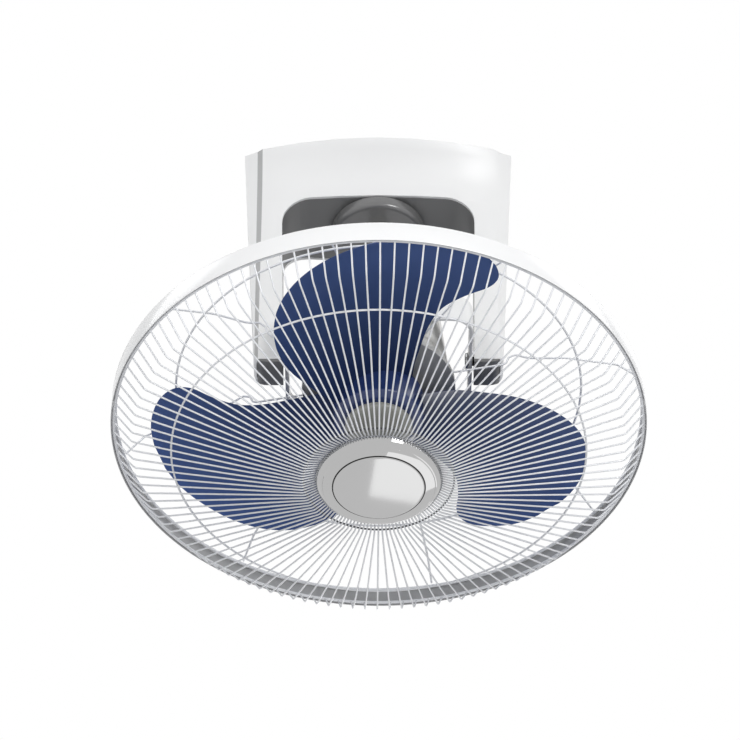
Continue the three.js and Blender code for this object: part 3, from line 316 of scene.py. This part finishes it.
SURFACES = {
    "white_shell": dict(colour=(0.86, 0.86, 0.855), rough=0.38, grain=900, bump=0.05, shift=0.008),
    "white_gloss": dict(colour=(0.95, 0.95, 0.95), rough=0.2, grain=300, bump=0.01, shift=0.006, coat=0.3),
    "white_wire": dict(colour=(0.85, 0.86, 0.885), rough=0.25, grain=500, shift=0.02, coat=0.3),
    "white_nylon": dict(colour=(0.72, 0.71, 0.66), rough=0.42, grain=500, bump=0.03),
    # painted shade on the yoke's left bevel
    "bevel_shade_grey": dict(colour=(0.44, 0.44, 0.44), rough=0.45, grain=900, bump=0.05, shift=0.01),
    # painted shade on the band's inner side
    "band_inside_shade": dict(colour=(0.4, 0.4, 0.405), rough=0.4, grain=300, shift=0.1),
    "dark_liner": dict(colour=(0.185, 0.185, 0.185), rough=0.42, grain=1200, bump=0.1, shift=0.05),
    "crank_gloss": dict(colour=(0.145, 0.145, 0.145), rough=0.3, grain=900, coat=0.6),
    "shaded_wire": dict(colour=(0.12, 0.12, 0.125), rough=0.35, grain=500, shift=0.05),
    # painted shade inside the cap's groove
    "groove": dict(colour=(0.05, 0.05, 0.05), rough=0.5, grain=500),
    "black_plastic": dict(colour=(0.02, 0.02, 0.021), rough=0.45, grain=900, bump=0.08, shift=0.2),
    # blue plastic with painted shade, deeper than the blades
    "hub_shaded_blue": dict(colour=(0.022, 0.045, 0.16), rough=0.3, grain=300, bump=0.01, coat=0.3),
    "olive_grey": dict(colour=(0.36, 0.36, 0.325), rough=0.3, grain=400, coat=0.3),
    "plated_steel": dict(colour=(0.52, 0.52, 0.515), rough=0.34, metal=0.2, grain=120, bump=0.04,
                         shift=0.1, stretch=(1, 12, 12)),
    "bright_steel": dict(colour=(0.62, 0.63, 0.64), rough=0.16, metal=1.0, grain=300,
                         stretch=(1, 1, 14)),
    "motor_metal": dict(colour=(0.5, 0.495, 0.48), rough=0.3, metal=0.2, grain=260, bump=0.05,
                        shift=0.1, stretch=(1, 1, 10)),
    "bronze": dict(colour=(0.45, 0.28, 0.13), rough=0.38, metal=1.0, grain=1600, bump=0.12, shift=0.12),
    "silver_cap": dict(colour=(0.47, 0.47, 0.47), rough=0.03, metal=1.0, grain=500, bump=0.003,
                       shift=0.015, rough_shift=0.02),
}
LOOKS = {name: material(name, **surface) for name, surface in SURFACES.items()}
LOOKS["copper_winding"] = striped("copper_winding", (0.42, 0.17, 0.07), rough=0.3, step=0.0009)
LOOKS["lamination"] = striped("lamination", (0.17, 0.17, 0.18), rough=0.42, step=0.0008)
LOOKS["blue_blade"] = blade_material()

for entry in frame["record"]["subparts"]:
    node = frame["nodes"][entry["node"]]
    node.data.materials.clear()
    node.data.materials.append(LOOKS[entry["material_slot"]])


# ---------------------------------------------------------------- the CAD nodes that are shown

STRIP_LEFT, STRIP_RIGHT = -108, -102    # the faces painted grey as shade have their middles between these
STRIP_NORMAL = (-0.2, -0.5)             # and look further to the left and to the front than this

EDGE_WIDTH, EDGE_ANGLE = 0.6, 34        # edges over this angle are rounded by this much
WELD_WITHIN = 0.002
FLAT_WEIGHT = 90                        # how strongly a large face pulls the shading of its corners
SHEET_PIECES = ("ceiling_plate", "yoke_frame", "drive_bracket", "rear_guard_plate")


def shade_strip_on_yoke():
    """Painted shade: the grey vertical strip on the left bevel of the yoke's front, whose faces look left."""
    mesh = frame["nodes"]["front_cover"].data
    mesh.materials.append(LOOKS["bevel_shade_grey"])
    for face in mesh.polygons:
        x, normal = face.center.x / MM, face.normal
        if STRIP_LEFT < x < STRIP_RIGHT and normal.x < STRIP_NORMAL[0] and normal.y < STRIP_NORMAL[1]:
            face.material_index = 1


def soften(name):
    """Rounds a CAD node's edges, shades its shallow facets smooth and keeps sheet pieces flat."""
    node = frame["nodes"][name]
    mesh = node.data
    if "custom_normal" in mesh.attributes:
        mesh.attributes.remove(mesh.attributes["custom_normal"])
    mesh.polygons.foreach_set("use_smooth", [True] * len(mesh.polygons))
    weld = node.modifiers.new("Weld", "WELD")
    weld.merge_threshold = WELD_WITHIN * MM
    bevel = node.modifiers.new("Bevel", "BEVEL")
    bevel.width = EDGE_WIDTH * MM
    bevel.segments = 2
    bevel.limit_method = "ANGLE"
    bevel.angle_limit = math.radians(EDGE_ANGLE)
    bevel.harden_normals = False
    bevel.use_clamp_overlap = True
    split = node.modifiers.new("Split", "EDGE_SPLIT")
    split.split_angle = math.radians(EDGE_ANGLE)
    split.use_edge_sharp = False
    if name in SHEET_PIECES:
        node.modifiers.new("Flat", "WEIGHTED_NORMAL").weight = FLAT_WEIGHT


# ---------------------------------------------------------------- guard

WIRE_COUNT, WIRE_R, WIRE_SIDES, FIRST_WIRE = 120, 0.75, 8, 0.2      # the last is in degrees
RIB_COUNT, RIB_R, RIB_SIDES, FIRST_RIB = 8, 0.9, 10, -12.4
WIRE_SHARP = 60

RIM_R, RIM_H, RIM_WIRE_R = 222.2, 1.9, 1.4
CAP_RING_R, CAP_RING_H, CAP_RING_WIRE_R = 48.8, -49.4, 1.6
RIM_SEGMENTS, CAP_RING_SEGMENTS = 240, 120
FRONT_BENDS = [(RIM_R, RIM_H), (206, -19.6), (64, -54.6), (CAP_RING_R, CAP_RING_H)]
FRONT_RADII = [7, 5]

BAND_R, BAND_HEIGHT = 225, 20
BAND_EDGE = [(223.9, 0.5), (224.15, 0.08), (224.55, 0), (224.85, 0.2), (BAND_R, 0.7)]
BAND_INWARD = -0.1 * MM                 # a face whose normal times its place is less looks inwards

REAR_BENDS = [(RIM_R, BAND_HEIGHT), (205, 38), (162, 55), (130, 61.5), (119, 68), (113, 66),
              (110.5, 60), (107, 58.5), (64, 58.5)]
REAR_RADII = [6, 40, 30, 3, 2, 2, 2]

# Each ring's name, the CAD node it replaces, its radius, height, wire radius, segments and look.
RINGS = [
    ("front_ring", "front_guard_ring", 173, -26.2, 0.85, 240, "white_wire"),
    ("front_inner_ring", "front_guard_inner_ring", 62.5, -52, 0.8, 160, "shaded_wire"),
    ("rear_ring", "rear_guard_ring", 172, 48.6, 1, 240, "white_wire"),
    ("rear_rim", "rear_rim_ring", RIM_R - 0.4, 16.4, 1.5, 240, "white_wire"),
]


def front_guard():
    """The cage of bent wires, with the two rings that they end in."""
    path = filleted(FRONT_BENDS, FRONT_RADII, 5)
    angles = [math.radians(FIRST_WIRE + 360 / WIRE_COUNT * i) for i in range(WIRE_COUNT)]
    parts = [planar_wire(path, WIRE_R, angle, WIRE_SIDES) for angle in angles]
    parts.append(ring(RIM_R, RIM_H, RIM_WIRE_R, RIM_SEGMENTS))
    parts.append(ring(CAP_RING_R, CAP_RING_H, CAP_RING_WIRE_R, CAP_RING_SEGMENTS))
    obj = outward("front_guard_wires", *merged(parts), LOOKS["white_wire"], WIRE_SHARP)
    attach(obj, "head")
    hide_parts("front_guard")


def guard_ring(name, node, r, h, wire, segments, look):
    verts, faces = ring(r, h, wire, segments)
    obj = outward(name, verts, faces, LOOKS[look], WIRE_SHARP)
    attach(obj, "head")
    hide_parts(node)


def rear_guard():
    """The rear ribs, which step down in a recess near the motor."""
    path = filleted(REAR_BENDS, REAR_RADII, 4)
    for i in range(RIB_COUNT):
        angle = math.radians(FIRST_RIB + 360 / RIB_COUNT * i)
        verts, faces = planar_wire(path, RIB_R, angle, RIB_SIDES)
        obj = outward(f"rear_rib_wire_{i + 1}", verts, faces, LOOKS["white_wire"], WIRE_SHARP)
        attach(obj, "head")
        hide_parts(f"rear_rib_{i + 1}")


def band():
    """The guard's outer band, with both edges rolled and its inner side painted grey as shade."""
    profile = BAND_EDGE + [(r, BAND_HEIGHT - h) for r, h in reversed(BAND_EDGE)]
    obj = lathe("band", profile, LOOKS["white_gloss"], segments=288, sharp=50)
    obj.data.materials.append(LOOKS["band_inside_shade"])
    for face in obj.data.polygons:
        outwards = face.normal.x * face.center.x + face.normal.y * face.center.y
        face.material_index = int(outwards < BAND_INWARD)
    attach(obj, "head")
    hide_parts("guard_band")


# ---------------------------------------------------------------- crank disc

CRANK_R, CRANK_FACE_Z, CRANK_RIM_Z = 41.5, -59.5, -48
CRANK_FLAT_R = CRANK_R - 5              # a row of points here keeps the face's shading flat
CRANK_RADII = [4.2, 0.8]

# The neck in the soffit's hole, the hollow behind the face, the boss, and the spindle with its clip's groove.
CRANK_BACK = [(33, CRANK_RIM_Z), (33, -41), (30, -41), (30, -53.7), (14, -53.7), (14, -37.3), (5, -37.3),
              (5, -15.6), (4, -15.6), (4, -14.6), (5, -14.6), (5, -12.6), (0, -12.6)]


def crank_face():
    """The turning disc in the soffit, with a rounded rim."""
    middle = (0, CRANK_FACE_Z)
    rim = [middle, (CRANK_R, CRANK_FACE_Z), (CRANK_R, CRANK_RIM_Z), CRANK_BACK[0]]
    front = [middle, (CRANK_FLAT_R, CRANK_FACE_Z)] + filleted(rim, CRANK_RADII, 6)[1:]
    verts, faces = turned(front + CRANK_BACK[1:], 128)
    obj = outward("crank_face", verts, faces, LOOKS["crank_gloss"], sharp=40)
    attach(obj, "crank")
    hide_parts("crank_disc")


# ---------------------------------------------------------------- cap

CAP_FACE_H, CAP_BACK_H = -61.8, -59.6
CAP_FRONT = [(36, CAP_FACE_H), (37.2, CAP_FACE_H), (37.8, -61.2), (37.8, -60), (38.6, -60), (38.8, -60.8),
             (46.6, -59.6), (47, -58.8), (48.4, -58.6), (51.5, -56), (52.8, -52.9)]
CAP_RADII = [0.5, 0.3, 0.1, 0.1, 0.2, 0.3, 0.3, 1.5, 4]
CAP_BACK = [(50.8, -52.9), (48.8, -54.7), (46.1, -55.8), (46.1, -47.9), (44.6, -47.9), (44.6, -56.8),
            (36.8, CAP_BACK_H), (0, CAP_BACK_H)]
# the groove's faces between these radii, in front of this height, get painted shade
GROOVE_FROM, GROOVE_TO, GROOVE_H = 37.75, 38.7, -59.8


def cap():
    """The round cap in the guard's middle, with a fine groove round its flat face that is painted dark as
    shade.
    """
    profile = [(0, CAP_FACE_H)] + filleted(CAP_FRONT, CAP_RADII, 4) + CAP_BACK
    obj = lathe("cap", profile, LOOKS["silver_cap"], segments=160, sharp=40)
    obj.data.materials.append(LOOKS["groove"])
    for face in obj.data.polygons:
        place = math.hypot(face.center.x, face.center.y) / MM
        in_front = face.center.z < (RIM_Z + GROOVE_H) * MM
        face.material_index = int(GROOVE_FROM < place < GROOVE_TO and in_front)
    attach(obj, "head")
    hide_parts("guard_cap")


# ---------------------------------------------------------------- blades and nose

BLADE_COUNT = 3
BLADE_FOOT = 16.5                       # the height that the stations' heights are counted from
FIRST_BLADE = 0.6

# Radius, the angles of the trailing and leading edges in degrees, and their heights.
STATIONS = [
    (33, -41, 82, 5.5, 23.5), (50, -34, 66, 4.5, 24.5), (72, -27.5, 58.5, 3, 25), (95, -21.5, 55, -1, 25),
    (118, -15.5, 55.2, -2.7, 25), (140, -8.5, 59.5, -2.9, 25), (158, -1.8, 63.6, -2.3, 25),
    (172, 5.2, 63.8, 0, 24), (183, 13, 61, 3.5, 23), (191, 21.5, 56.5, 7.5, 21.5),
    (196.5, 29.5, 51, 10.5, 19), (199, 37, 44.5, 13.5, 17),
]
TIP_R = STATIONS[-1][0]
SPAN_ROWS, CHORD_STEPS = 72, 28

BLADE_THICK = 2.4
THICK_AT_AXIS, THICK_LOSS = 1.35, 0.6   # shares of that: at the axis, and what is lost out to the tip
EDGE_SHARE, MIDDLE_SHARE = 0.1, 0.72    # the thickness at the edges, and what the middle adds
BLADE_BOW, FULL_BOW_WIDTH = 5, 100      # a blade narrower than this width bows less

BORE_R, BOSS_R, CUP_R, CUP_INSIDE_R = 4.3, 12, 38, 35.5
HUB_FACE_H, HUB_FLOOR_H, BOSS_H, CUP_H = 10, 13, 39, 43
CUP_FRONT = [(BORE_R, HUB_FACE_H), (33, HUB_FACE_H), (CUP_R, 16), (CUP_R, CUP_H)]
CUP_RADII = [4, 3]
CUP_BACK = [(CUP_INSIDE_R, CUP_H), (CUP_INSIDE_R, 17), (32, HUB_FLOOR_H), (BOSS_R, HUB_FLOOR_H),
            (BOSS_R, BOSS_H), (BORE_R, BOSS_H)]
HUB_COLOUR_R = 38.1                     # faces nearer to the axis than this take the hub's deeper blue, which is painted shade

NOSE_R, NOSE_H, NOSE_RISE, NOSE_STEPS = 28.5, 0.5, 7.2, 12
NOSE_TOP_H = 9.7
NOSE_BACK = [(NOSE_R, NOSE_TOP_H), (26, NOSE_TOP_H), (23.5, 6.5), (12, 4), (9, NOSE_TOP_H),
             (BORE_R, NOSE_TOP_H), (BORE_R, 4.5), (0, 4.5)]


def blade(turn):
    """One blade: rows of points from root to tip, each round a thin, bowed section."""
    verts = []
    for r, trailing, leading, low, high in smooth_rows(STATIONS, SPAN_ROWS):
        width = math.hypot(high - low, r * math.radians(leading - trailing))
        thick = BLADE_THICK * (THICK_AT_AXIS - THICK_LOSS * r / TIP_R)

        def point(t, shift):
            a = math.radians(trailing + (leading - trailing) * t + turn)
            bow = BLADE_BOW * 4 * t * (1 - t) * min(1, width / FULL_BOW_WIDTH)
            z = RIM_Z + BLADE_FOOT + low + (high - low) * t + bow + shift
            return (r * math.cos(a) * MM, r * math.sin(a) * MM, z * MM)

        steps = [(1 - math.cos(math.pi * i / CHORD_STEPS)) / 2 for i in range(CHORD_STEPS + 1)]
        shares = [EDGE_SHARE + MIDDLE_SHARE * (t * (1 - t) * 4) ** 0.5 for t in steps]
        verts += [point(t, thick * share) for t, share in zip(steps, shares)]
        verts += [point(t, 0) for t in reversed(steps)]
    columns = 2 * (CHORD_STEPS + 1)
    faces = grid_faces(SPAN_ROWS, columns)
    last = (SPAN_ROWS - 1) * columns
    for i in range(CHORD_STEPS):
        faces.append((i, columns - 1 - i, columns - 2 - i, i + 1))
        faces.append((last + i + 1, last + columns - 2 - i, last + columns - 1 - i, last + i))
    return verts, faces


def blades():
    """The three blades on their cup-shaped hub, whose faces have a deeper blue of painted shade."""
    hub = filleted(CUP_FRONT, CUP_RADII, 4) + CUP_BACK
    parts = [turned([(r, RIM_Z + h) for r, h in hub], 96)]
    parts += [blade(FIRST_BLADE + 360 / BLADE_COUNT * i) for i in range(BLADE_COUNT)]
    obj = outward("blades", *merged(parts), LOOKS["blue_blade"], sharp=40)
    obj.data.materials.append(LOOKS["hub_shaded_blue"])
    for face in obj.data.polygons:
        place = math.hypot(face.center.x, face.center.y)
        face.material_index = int(place < HUB_COLOUR_R * MM)
    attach(obj, "rotor")
    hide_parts("blade_set")


def nose():
    """The domed spinner in front of the hub."""
    angles = [math.pi / 2 * i / NOSE_STEPS for i in range(NOSE_STEPS + 1)]
    dome = [(NOSE_R * math.sin(a), NOSE_H + NOSE_RISE * (1 - math.cos(a))) for a in angles]
    obj = lathe("nose", dome + NOSE_BACK, LOOKS["olive_grey"], segments=96, sharp=40)
    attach(obj, "rotor")
    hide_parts("spinner")


front_guard()
for one_ring in RINGS:
    guard_ring(*one_ring)
rear_guard()
band()
cap()
crank_face()
blades()
nose()
shade_strip_on_yoke()
for name in frame["nodes"]:
    if not frame["nodes"][name].hide_render:
        soften(name)


# ---------------------------------------------------------------- room and lamps, in metres

FLOOR_HALF, FLOOR_Z = 12, -2.7
ROOM_COLOUR, ROOM_LIGHT = (0.95, 0.97, 1, 1), 0.3
WHITE = (1, 1, 1, 1)

MIDDLE = (0, 0, -0.2)                   # what the lamps are aimed at, apart from the two at the sides
LOWER = (0, 0, -0.25)


def seen_directly(nodes, links):
    """One for camera, gloss and transmission rays, and zero for the light that falls on the fan."""
    path = nodes.new("ShaderNodeLightPath")
    total = path.outputs["Is Camera Ray"]
    for kind in ("Is Glossy Ray", "Is Transmission Ray"):
        highest = nodes.new("ShaderNodeMath")
        highest.operation = "MAXIMUM"
        links.new(total, highest.inputs[0])
        links.new(path.outputs[kind], highest.inputs[1])
        total = highest.outputs[0]
    return total


def floor():
    """A pale floor that lights the fan from below and looks white itself."""
    mesh = bpy.data.meshes.new("floor")
    s, z = FLOOR_HALF, FLOOR_Z
    mesh.from_pydata([(-s, -s, z), (s, -s, z), (s, s, z), (-s, s, z)], [], [(0, 1, 2, 3)])
    paint = material("floor_paint", (0.86, 0.86, 0.86), 0.8, grain=40, bump=0.01, shift=0.01)
    nodes, links = paint.node_tree.nodes, paint.node_tree.links
    white = nodes.new("ShaderNodeEmission")
    mix = nodes.new("ShaderNodeMixShader")
    links.new(seen_directly(nodes, links), mix.inputs[0])
    links.new(nodes["Principled BSDF"].outputs[0], mix.inputs[1])
    links.new(white.outputs[0], mix.inputs[2])
    links.new(mix.outputs[0], nodes["Material Output"].inputs["Surface"])
    mesh.materials.append(paint)
    obj = bpy.data.objects.new("floor", mesh)
    scene.collection.objects.link(obj)


def world():
    """A dim, even light from all round that the camera sees as white."""
    w = bpy.data.worlds.new("room")
    scene.world = w
    w.use_nodes = True
    nodes, links = w.node_tree.nodes, w.node_tree.links
    light = nodes["Background"]
    light.inputs["Color"].default_value = ROOM_COLOUR
    light.inputs["Strength"].default_value = ROOM_LIGHT
    white = nodes.new("ShaderNodeBackground")
    white.inputs["Color"].default_value = WHITE
    white.inputs["Strength"].default_value = 1
    mix = nodes.new("ShaderNodeMixShader")
    links.new(seen_directly(nodes, links), mix.inputs[0])
    links.new(light.outputs[0], mix.inputs[1])
    links.new(white.outputs[0], mix.inputs[2])
    links.new(mix.outputs[0], nodes["World Output"].inputs["Surface"])


def lamp(name, place, target, side, power, mirrored=True):
    """A square area lamp. One that isn't mirrored lights the fan without a highlight."""
    data = bpy.data.lights.new(name, "AREA")
    data.shape = "SQUARE"
    data.size = side
    data.energy = power
    obj = bpy.data.objects.new(name, data)
    obj.visible_glossy = mirrored
    scene.collection.objects.link(obj)
    obj.location = place
    obj.rotation_mode = "QUATERNION"
    obj.rotation_quaternion = (Vector(target) - Vector(place)).to_track_quat("-Z", "Y")


# ---------------------------------------------------------------- camera and panel, in millimetres

PHOTO_SIDE, FOCAL_LENGTH = 740, 3216    # in the photo's pixels
SENSOR = 36
NEAR, FAR = 0.1, 60                     # in metres
VIEW_RISE = math.radians(44.08)
VIEW_DISTANCE, VIEW_RIGHT, VIEW_UP = 2700, -7.3, 53.6

PANEL_SIDE, PANEL_POWER = 700, 1.0
PANEL_LEAN = math.radians(9.5)
PANEL_CORNER = Vector((-8.7, 1499.3, -1691.8))


def view_axes(mirrored=False):
    """The camera's right, ahead and up. Mirrored ones are their images in a level mirror."""
    z = -1 if mirrored else 1
    ahead = Vector((0, math.cos(VIEW_RISE), z * math.sin(VIEW_RISE)))
    up = Vector((0, -math.sin(VIEW_RISE), z * math.cos(VIEW_RISE)))
    return Vector((1, 0, 0)), ahead, up


def put(obj, place, axes):
    """Links an object at a place in millimetres, with its own x, y and z along three axes."""
    scene.collection.objects.link(obj)
    obj.matrix_world = Matrix.Translation(place * MM) @ Matrix(axes).transposed().to_4x4()


def camera():
    """Below the fan and in front of it, looking up through a long lens, as fitted to the photo."""
    data = bpy.data.cameras.new("camera")
    data.sensor_width = SENSOR
    data.lens = SENSOR * FOCAL_LENGTH / PHOTO_SIDE
    data.clip_start, data.clip_end = NEAR, FAR
    obj = bpy.data.objects.new("camera", data)
    right, ahead, up = view_axes()
    place = right * VIEW_RIGHT + up * VIEW_UP - ahead * VIEW_DISTANCE + Vector((0, 0, RIM_Z))
    put(obj, place, (right, up, -ahead))
    scene.camera = obj


def patch_lamp():
    """A faint panel behind the fan, placed so that the cap mirrors its lower left corner."""
    right, ahead, up = view_axes(mirrored=True)
    across = right * math.cos(PANEL_LEAN) - up * math.sin(PANEL_LEAN)
    along = right * math.sin(PANEL_LEAN) + up * math.cos(PANEL_LEAN)
    data = bpy.data.lights.new("panel", "AREA")
    data.shape = "SQUARE"
    data.size = PANEL_SIDE * MM
    data.energy = PANEL_POWER
    centre = PANEL_CORNER + (across + along) * PANEL_SIDE / 2
    put(bpy.data.objects.new("panel", data), centre, (across, -along, ahead))


floor()
world()
lamp("key", (2.3, -4.0, -0.8), MIDDLE, side=1.4, power=92)
lamp("low", (0.5, -3.2, -3.2), MIDDLE, side=0.9, power=50)
lamp("fill", (-2.4, -4.0, -0.4), MIDDLE, side=2.6, power=67, mirrored=False)
lamp("left", (-2.0, 0, 1.6), LOWER, side=1.1, power=7)
lamp("right", (2.0, 0, 1.6), LOWER, side=1.1, power=7)
lamp("back", (0.8, 4.2, 0.4), MIDDLE, side=2.0, power=30)
lamp("top", (0.3, 0.6, 1.8), MIDDLE, side=2.4, power=10)
patch_lamp()
camera()

scene.view_settings.view_transform = "Standard"
